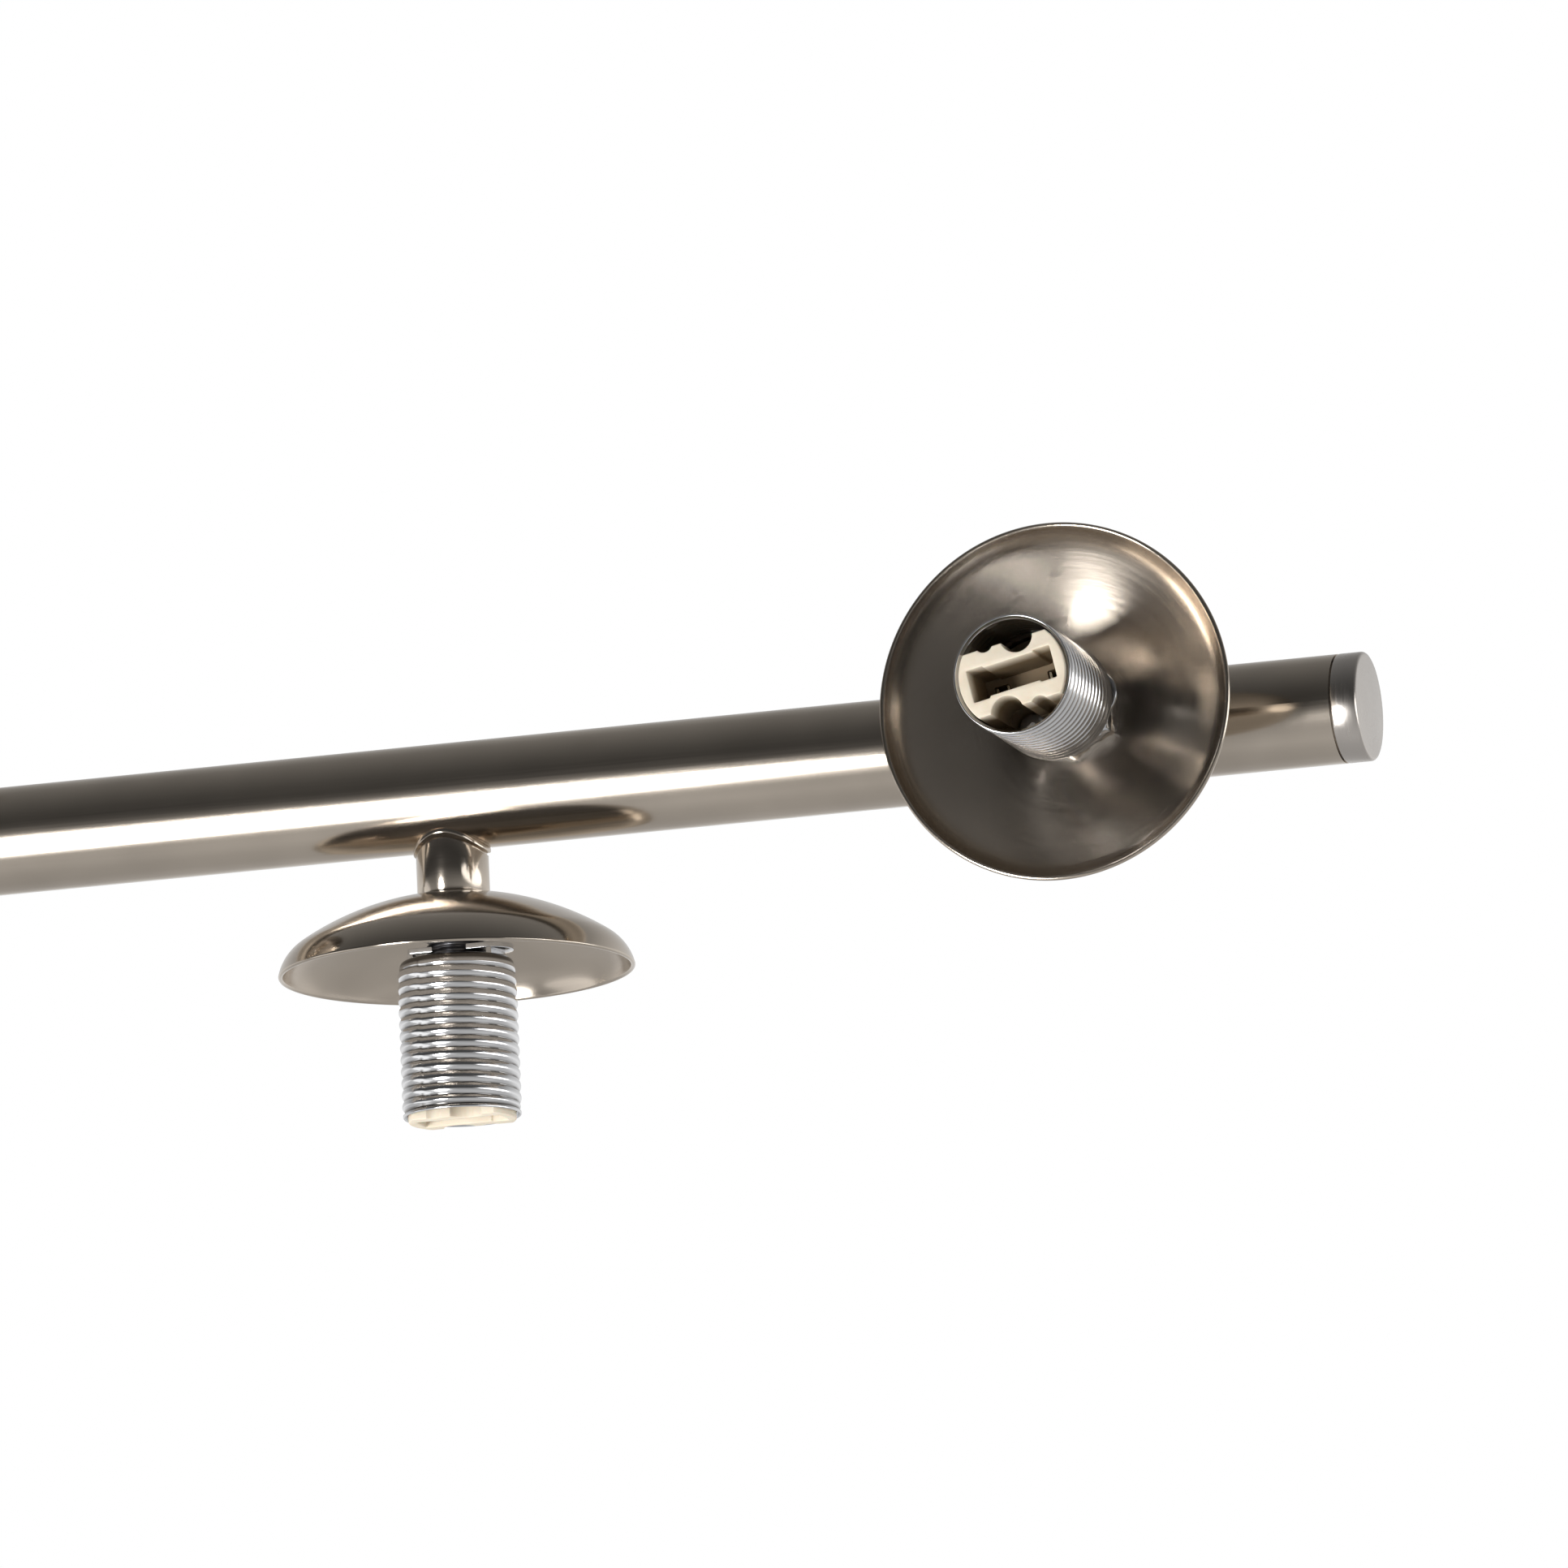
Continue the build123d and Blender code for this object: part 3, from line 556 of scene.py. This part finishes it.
def bracket_solid():
    """Strap bracket: a plate in halves beside the post's tail, a leg under each, and the disc."""
    top, bottom, half_width, leg, corner = -25.9, -26.9, 4.0, 1.0, 0.7
    left_x, right_x, round_x = -7.4, 6.4, 6.0       # legs, and middle of the plate's round end
    disc_r, disc_top, leg_end = 9.2, -DISC_BOTTOM + 1.2, -DISC_BOTTOM + 0.7
    reach = degrees(asin(half_width / TAIL_R))
    left = eased([(left_x, -half_width, corner)] + arc(0, 0, TAIL_R, 180 + reach, 180 - reach)
                 + [(left_x, half_width, corner)])
    right = arc(round_x, 0, half_width, -90, 90, 16) + arc(0, 0, TAIL_R, reach, -reach)
    halves = [plate([outline], bottom, top, 0.16) for outline in (left, right)]
    feet = [box_outline(x, x + leg, -half_width, half_width, 0.2) for x in (left_x, right_x)]
    legs = [plate([foot], leg_end, bottom + 0.1, 0.1) for foot in feet]
    holes = in_pair(CHANNEL[0], CHANNEL[1], 1.5) + in_pair(CONTACT_X, 0, 1.0)
    disc = plate([circle(0, 0, disc_r, 120)] + holes, -DISC_BOTTOM, disc_top, 0.15)
    return together(*halves, *legs, disc)


def sleeve_solid(start):
    """Rolled screw collar: crests on a helix, rolled-in shoulder, rounded lip and butt seam."""
    end = start + SLEEVE_LEN
    root_r, lip_r = SLEEVE_R - THREAD_DEPTH, SLEEVE_R - THREAD_DEPTH * 0.2
    seam, seam_half, seam_depth = radians(SEAM_DEG), radians(1.6), 0.14
    advance = 0.92          # pitches in one turn; the crests miss each other a little at the seam
    bend = 0.9              # radius of the shoulder
    fade = 0.8              # length over which the thread runs out
    lip_rise = 0.8

    def wave(angle, h):
        """0 in a root, 1 on a crest, and the lip's rise at the end."""
        turn = (angle - seam) % (2 * pi) / (2 * pi)
        level = abs(sin(pi * ((h - start) / PITCH - turn * advance)))
        run_out = min(1, max(0, (h - start - bend) / fade), max(0, (end - 0.75 - h) / fade))
        lip = lip_rise * min(1, max(0, (h - end + 0.7) / 0.25))
        return max(level**0.85 * run_out, lip)

    def outer(h):
        def radius(angle):
            turn = abs((angle - seam + pi) % (2 * pi) - pi)
            gap = seam_depth * max(0, 1 - turn / seam_half)
            return SLEEVE_R - THREAD_DEPTH * (1 - wave(angle, h)) - gap
        return radius

    def inner(h):
        return lambda angle: SLEEVE_R - THREAD_DEPTH * (1 - wave(angle, h)) - SLEEVE_SHEET

    def shoulder(radius, angles):
        return [(root_r - bend + radius * sin(radians(a)), -start - bend + radius * cos(radians(a)))
                for a in angles]
    step = PITCH / 12
    levels = [start + bend + step * k for k in range(int((SLEEVE_LEN - 1.1) / step))]
    rings = [(root_r - bend - SLEEVE_SHEET * 0.5, -start - SLEEVE_SHEET * 0.5)]
    rings += shoulder(bend, range(0, 76, 15))
    rings += [(outer(h), -h) for h in levels]
    rings += [(lip_r, -end + 0.12), (lip_r - 0.06, -end + 0.03), (lip_r - 0.14, -end),
              (lip_r - SLEEVE_SHEET + 0.06, -end), (lip_r - SLEEVE_SHEET, -end + 0.08)]
    rings += [(inner(h), -h) for h in levels[::-2]]
    rings += shoulder(bend - SLEEVE_SHEET, range(75, -1, -25))
    return turned(rings, 144)


def ceramic_outline():
    """Holder's outline: two flats with a notch and a screw channel in each, and two round ends."""
    flat_end = sqrt(CERAMIC_R**2 - CERAMIC_FLAT**2)
    corner, edge = 0.3, 0.18        # corner radii at the ends of a flat and beside its hollows
    half = [(-flat_end, -CERAMIC_FLAT, corner)]
    for x, y, radius in (NOTCH, CHANNEL):
        reach = degrees(asin((-CERAMIC_FLAT - y) / radius))
        points = arc(x, y, radius, 180 - reach, reach)
        half += [(*points[0][:2], edge)] + points[1:-1] + [(*points[-1][:2], edge)]
    half.append((flat_end, -CERAMIC_FLAT, corner))
    bow = degrees(asin(CERAMIC_FLAT / CERAMIC_R))
    return both_ways(half + arc(0, 0, CERAMIC_R, -bow, bow, 16)[1:-1])


def slot_outline():
    """Dumb-bell lamp slot."""
    return both_ways([(-7.25, -2.75, 0.25), (-4.5, -2.75, 0.2), (-4.3, -2.42, 0.2),
                      (4.3, -2.42, 0.2), (4.5, -2.75, 0.2), (7.25, -2.75, 0.25)])


def ceramic_solid():
    """Ceramic holder: slotted upper body, floor with two contact pockets, round foot."""
    half_x, half_y = 1.35, 1.5      # of a contact pocket
    outside = ceramic_outline()
    body = plate([outside, slot_outline()], -CERAMIC_FACE, -SLOT_FLOOR, 0.22)
    pockets = [box_outline(x - half_x, x + half_x, -half_y, half_y, 0.3)
               for x in (-CONTACT_X, CONTACT_X)]
    floor = plate([outside] + pockets, -SLOT_FLOOR, -FOOT_END, 0.0)
    holes = in_pair(CONTACT_X, 0, 0.9) + in_pair(CHANNEL[0], CHANNEL[1], 1.6)
    foot = plate([circle(0, 0, CERAMIC_R, 120)] + holes, -FOOT_END, -DISC_BOTTOM, 0.2)
    return together(body, floor, foot)


def cap_screw(head_r, head_h, shank_r, socket, length):
    """Socket-head screw standing on z = 0 with its head up."""
    floor = head_h * 0.4
    return turned([(0, floor), (hexagon(socket), floor), (hexagon(socket), head_h - 0.1),
                   (hexagon(socket + 0.25), head_h), (head_r - 0.25, head_h),
                   (head_r - 0.07, head_h - 0.07), (head_r, head_h - 0.25), (head_r, 0.12),
                   (head_r - 0.12, 0), (shank_r, 0), (shank_r, -length + 0.3),
                   (shank_r - 0.3, -length), (0, -length)], 48)


def head_place(name):
    """Matrix of a head's own frame: from the bar's axis, pointing down, or forward if outer."""
    dome_low, dome_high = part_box(name + "_dome")
    cap_low, cap_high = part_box("end_cap_right")
    origin = Vector(((dome_low.x + dome_high.x) / 2, 0, (cap_low.z + cap_high.z) / 2))
    turn = 0 if name.startswith("inner") else -90
    return Matrix.Translation(origin) @ Matrix.Rotation(radians(turn), 4, "X")


def add_head(name):
    """The pieces of one head; its body in the frame has the head's name."""
    row, hand = name.split("_")
    twist = 0 if row == "inner" else -SLOT_TWIST if hand == "right" else SLOT_TWIST
    place = head_place(name)
    socket = place @ Matrix.Rotation(radians(twist), 4, "Z")

    def put(part, solid, where, slot_name, look, sharp=32):
        piece = add_piece(f"{name}_{part}_model", solid, where, sharp)
        return fit_piece(piece, name, slot_name, look, f"{name}_{part}")

    dome_bottom = -POST_END - DOME_SHEET
    post = put("post", post_solid(), place, "satin_nickel", "spun")
    # dark steel on the threaded tail below the dome, which also paints the shade in the gap between
    # the bracket's plates
    second_look(post, "dark_steel", lambda face: face.center.z < dome_bottom * MM)
    dome = put("dome", dome_solid(), place, "satin_nickel", "spun")
    second_look(dome, "dish", lambda face: face.normal.z < -0.2)
    nut = nut_solid(13.0, TAIL_R, dome_bottom - 3.0, dome_bottom)
    put("lock_nut", nut, place, "zinc_steel", "zinc")
    put("bracket", bracket_solid(), socket, "zinc_steel", "zinc")
    collar = sleeve_solid(SLEEVE_START[row])
    collar = put("thread_sleeve", collar, socket, "chrome_plate", "chrome", 60)
    second_look(collar, "zinc", lambda face: face.normal.xy.dot(face.center.xy) < 0)
    put("ceramic", ceramic_solid(), socket, "steatite_ceramic", "ceramic")
    screw = flipped(cap_screw(2.5, 1.8, 1.5, 2.0, 5.8))
    screws = together(*[shifted(screw, side * CHANNEL[0], side * CHANNEL[1], -FOOT_END)
                        for side in (-1, 1)])
    put("socket_screws", screws, socket, "zinc_steel", "zinc")


for name in HEADS:
    add_head(name)


# ---- small screws, cap nuts and the bar's end caps ----

def grub_screw(radius, socket, top, shoulder, tip_r, tip):
    """Upright grub screw with a hexagon socket and a dog point."""
    floor = top - (top - shoulder) * 0.6
    return turned([(0, floor), (hexagon(socket), floor), (hexagon(socket), top - 0.1),
                   (hexagon(socket + 0.2), top), (radius - 0.25, top), (radius, top - 0.25),
                   (radius, shoulder), (tip_r, shoulder), (tip_r, tip + 0.1), (tip_r - 0.1, tip),
                   (0, tip)], 48)


def cap_nut_solid(radius):
    """Cap nut that hangs from z = 0: knurled band, fine groove, domed end, bore for its stud."""
    height, dome_r, bore_r, bore_end, knurl_depth = 9.0, 3.5, 2.0, -6.3, 0.16

    def knurl(angle):
        return radius - knurl_depth * abs(sin(20 * angle))
    dome = [(radius - dome_r + dome_r * cos(radians(a)),
             -height + dome_r - dome_r * sin(radians(a))) for a in range(0, 91, 9)]
    return turned([(0, bore_end), (bore_r, bore_end), (bore_r, 0), (radius - 0.4, 0),
                   (radius - 0.1, -0.25), (knurl, -0.7), (knurl, -3.3), (radius - 0.1, -3.7),
                   (radius - 0.25, -4.0), (radius - 0.1, -4.3)] + dome + [(0, -height)], 160)


def end_cap_solid():
    """End cap, outwards along Z from its seam: plug in the tube, undercut seam, shallow face."""
    edge, face, plug = BAR_R, END_CAP_LEN, END_PLUG_R
    return turned([(0, -END_PLUG_LEN), (plug - 0.5, -END_PLUG_LEN), (plug, -END_PLUG_LEN + 0.5),
                   (plug, 0), (edge - 0.3, 0), (edge - 0.08, 0.06), (edge, 0.28),
                   (edge, face - 0.55), (edge - 0.06, face - 0.32), (edge - 0.2, face - 0.14),
                   (edge - 0.42, face - 0.03), (edge - 0.7, face), (0, face)], 128)


def box_mm(name):
    """Opposite corners of a CAD node's box, in mm."""
    low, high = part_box(name)
    return low / MM, high / MM


TIP_CLEAR = 0.05            # a screw's tip stays this far short of its CAD node's
HUB_SCREW_R, RETAINING_SCREW_R, CAP_NUT_R = 2.0, 1.5, 5.0

low, high = box_mm("hub_screws")
screw = grub_screw(HUB_SCREW_R, 2.0, high.z, high.z - 2.25, 1.2, low.z + TIP_CLEAR)
screws = together(*[shifted(screw, x) for x in (low.x + HUB_SCREW_R, high.x - HUB_SCREW_R)])
fit_piece(add_piece("hub_screws_model", screws, Matrix()), "stem", "dark_steel", "dark_steel",
          "hub_screws")

for hand in ("right", "left"):
    low, high = box_mm("retaining_screw_" + hand)
    screw = grub_screw(RETAINING_SCREW_R, 1.4, high.z, high.z - 0.75, 1.0, low.z + TIP_CLEAR)
    screw = shifted(screw, (low.x + high.x) / 2)
    fit_piece(add_piece(f"retaining_screw_{hand}_model", screw, Matrix()), "inner_" + hand,
              "dark_steel", "dark_steel", "retaining_screw_" + hand)

low, high = box_mm("cap_nuts")
nuts = together(*[shifted(cap_nut_solid(CAP_NUT_R), x, 0, high.z)
                  for x in (low.x + CAP_NUT_R, high.x - CAP_NUT_R)])
fit_piece(add_piece("cap_nuts_model", nuts, Matrix()), "ceiling", "satin_nickel", "cap", "cap_nuts")

for hand, side in (("right", 1), ("left", -1)):
    low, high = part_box("end_cap_" + hand)
    tip = high.x if side > 0 else low.x
    place = Matrix.Translation((tip - side * END_CAP_LEN * MM, 0, (low.z + high.z) / 2))
    place = place @ Matrix.Rotation(side * pi / 2, 4, "Y")
    fit_piece(add_piece(f"end_cap_{hand}_model", end_cap_solid(), place, 40), "outer_" + hand,
              "satin_nickel", "cap", "end_cap_" + hand)


# ---- looks of the CAD nodes that stay ----

SPUN_NODES = ("canopy", "hub", "stem_tube")
LOOKS = {"satin_nickel": "bar", "chrome_plate": "chrome", "steatite_ceramic": "ceramic",
         "contact_metal": "contact", "zinc_steel": "zinc", "dark_steel": "dark_steel",
         "turned_brass": "brass", "cable_sleeving": "cable", "nylon": "nylon",
         "connector_plastic": "connector", "green_screw": "green"}
slot_of = {part["node"]: part["material_slot"] for part in frame["record"]["subparts"]}
for name, node in frame["nodes"].items():
    paint(node, "spun" if name in SPUN_NODES else LOOKS[slot_of[name]])


# ---- surroundings ----

FLOOR_Z, FLOOR_HALF = -1.4, 8.0
LIT = Vector((0.25, 0, -0.07))      # what the lights point at

# the camera's place and angles (degrees), and its lens (mm)
CAMERA_PLACE = (1.02646, -2.76308, -0.63339)
CAMERA_AZIMUTH, CAMERA_ELEVATION, CAMERA_ROLL = 16.297, -10.970, -2.449
CAMERA_LENS, CAMERA_SENSOR = 403.46, 36.0

# brightness of the studio by direction: degrees from the front (-Y) up over the top, and its value
BEHIND = 0.85
SURROUND = [(-150, 0.5), (-120, 0.45), (-95, 0.47), (-72, 0.54), (-58, 0.5), (-44, 0.44),
            (-20, 0.36), (-8, 0.2), (2, 0.08), (6, 0.06), (24, 0.05), (45, 0.08), (70, 0.13),
            (110, 0.22), (135, 0.35)]


def studio():
    """World lit by SURROUND, which the camera sees as plain white."""
    def grey(value):
        return (value, value, value, 1)
    world = bpy.data.worlds.new("studio")
    bpy.context.scene.world = world
    world.use_nodes = True
    tree = world.node_tree
    direction = split_xyz(tree, coordinates(tree, "Generated"))
    front = tree.nodes.new("ShaderNodeMath")
    front.operation = "MULTIPLY"
    front.inputs[1].default_value = -1
    tree.links.new(direction["Y"], front.inputs[0])
    angle = arctangent(tree, direction["Z"], front.outputs[0])
    ramp = tree.nodes.new("ShaderNodeValToRGB")
    tree.links.new(map_range(tree, angle, -pi, pi), ramp.inputs["Fac"])
    stops = ramp.color_ramp.elements
    stops[0].color = stops[1].color = grey(BEHIND)
    for turn, value in SURROUND:
        stops.new((turn + 180) / 360).color = grey(value)
    seen = tree.nodes.new("ShaderNodeLightPath").outputs["Is Camera Ray"]
    colour = blend(tree, seen, ramp.outputs["Color"], (1, 1, 1))
    tree.links.new(colour, tree.nodes["Background"].inputs["Color"])


def add_light(name, toward, distance, width, height, radiance):
    """Softbox with one side along the bar, seen in reflections but not by the camera."""
    lamp = bpy.data.lights.new(name, "AREA")
    lamp.shape = "ELLIPSE"
    lamp.size, lamp.size_y = width, height
    lamp.energy = pi * radiance * width * height * pi / 4
    holder = bpy.data.objects.new(name, lamp)
    bpy.context.scene.collection.objects.link(holder)
    out = Vector(toward).normalized()
    across = (Vector((1, 0, 0)) - out * out.x).normalized()
    basis = Matrix((across, out.cross(across), out)).transposed().to_4x4()
    holder.matrix_world = Matrix.Translation(LIT + out * distance) @ basis
    holder.visible_camera = False


def add_floor():
    """Pale floor with a soft glow of its own. It is clear from below, as the light hangs high."""
    corners = ((-1, -1), (1, -1), (1, 1), (-1, 1))
    mesh = bpy.data.meshes.new("floor")
    mesh.from_pydata([(x * FLOOR_HALF, y * FLOOR_HALF, FLOOR_Z) for x, y in corners], [],
                     [(0, 1, 2, 3)])
    floor = bpy.data.objects.new("floor", mesh)
    bpy.context.scene.collection.objects.link(floor)
    material, tree, principled = shader("pale_floor", Roughness=0.9, Specular_IOR_Level=0.1)
    pale = tint(tree, texture_noise(tree, (2, 2, 2), 2.0), (0.84, 0.84, 0.83), (0.87, 0.87, 0.86))
    tree.links.new(pale, principled.inputs["Base Color"])
    tree.links.new(pale, principled.inputs["Emission Color"])
    principled.inputs["Emission Strength"].default_value = 0.6
    clear = tree.nodes.new("ShaderNodeBsdfTransparent")
    side = tree.nodes.new("ShaderNodeNewGeometry")
    mix = tree.nodes.new("ShaderNodeMixShader")
    tree.links.new(side.outputs["Backfacing"], mix.inputs["Fac"])
    tree.links.new(principled.outputs["BSDF"], mix.inputs[1])
    tree.links.new(clear.outputs["BSDF"], mix.inputs[2])
    tree.links.new(mix.outputs["Shader"], tree.nodes["Material Output"].inputs["Surface"])
    mesh.materials.append(material)
    floor.visible_glossy = False


def add_camera():
    """Camera in front, to the right of the heads and below them, looking up along the bar."""
    azimuth, elevation, roll = map(radians, (CAMERA_AZIMUTH, CAMERA_ELEVATION, CAMERA_ROLL))
    back = (sin(azimuth) * cos(elevation), -cos(azimuth) * cos(elevation), sin(elevation))
    forward = -Vector(back)
    level = Vector((cos(azimuth), sin(azimuth), 0))
    right = level * cos(roll) + level.cross(forward) * sin(roll)
    lens = bpy.data.cameras.new("camera")
    lens.sensor_width = CAMERA_SENSOR
    lens.lens = CAMERA_LENS
    lens.clip_start, lens.clip_end = 0.1, 50
    camera = bpy.data.objects.new("camera", lens)
    bpy.context.scene.collection.objects.link(camera)
    basis = Matrix((right, right.cross(forward), -forward)).transposed().to_4x4()
    camera.matrix_world = Matrix.Translation(CAMERA_PLACE) @ basis
    bpy.context.scene.camera = camera


studio()
add_floor()
add_camera()
add_light("key", (-0.43, -0.8, -0.42), distance=1.45, width=0.5, height=0.78, radiance=5)
add_light("core", (-0.415, -0.86, -0.285), distance=1.4, width=0.38, height=0.36, radiance=28)
add_light("side", (1.0, -0.12, 0.0), distance=1.5, width=2.3, height=0.6, radiance=1.9)
add_light("left", (-0.93, -0.3, -0.36), distance=1.5, width=1.2, height=0.65, radiance=0.55)
bpy.context.scene.view_settings.view_transform = "Standard"
